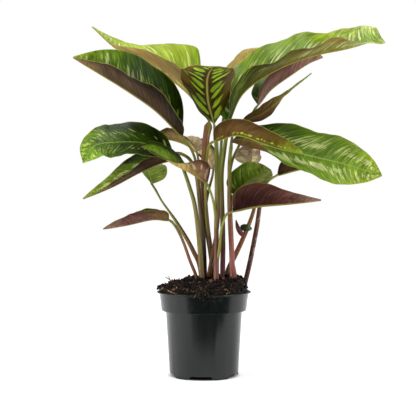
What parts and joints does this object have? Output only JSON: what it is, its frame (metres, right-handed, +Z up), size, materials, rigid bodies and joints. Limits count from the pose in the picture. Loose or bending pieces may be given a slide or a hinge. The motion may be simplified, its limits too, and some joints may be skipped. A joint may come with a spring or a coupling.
{
  "type": "potted calathea",
  "caption": "Houseplant with waved, folded leaves on slender upright shoots, standing in soil in a round tapered nursery pot.",
  "frame": {"origin": "centre of the pot's underside, on the surface that the plant stands on", "axes": "+Z up along the pot's axis, -Y towards the front of the plant, +X to its right as seen from the front"},
  "size_m": [0.3936, 0.2624, 0.4604],
  "materials": {
    "pot_plastic": "charcoal black, softly shining moulded plastic",
    "potting_soil": "dark crumbly bark and peat",
    "stem": "smooth living stem, olive above, red-brown below",
    "leaf": "thin leaf, satin sheen, green above and purple-brown beneath"
  },
  "bodies": {
    "root": {"pot": "pot_plastic", "soil": "potting_soil", "shoot_01": "stem", "shoot_02": "stem", "shoot_03": "stem", "shoot_04": "stem", "shoot_05": "stem", "shoot_06": "stem", "shoot_07": "stem", "shoot_08": "stem", "shoot_09": "stem", "shoot_10": "stem", "shoot_11": "stem", "blade_a": "leaf", "blade_b": "leaf", "blade_c": "leaf", "blade_d": "leaf", "blade_e": "leaf", "blade_f": "leaf", "blade_g": "leaf", "blade_h": "leaf", "blade_w": "leaf", "blade_i": "leaf", "blade_j": "leaf", "blade_k": "leaf", "blade_l": "leaf", "blade_m": "leaf", "blade_n": "leaf", "blade_o": "leaf", "blade_p": "leaf", "blade_q": "leaf", "blade_r": "leaf", "blade_s": "leaf"}
  },
  "joints": []
}
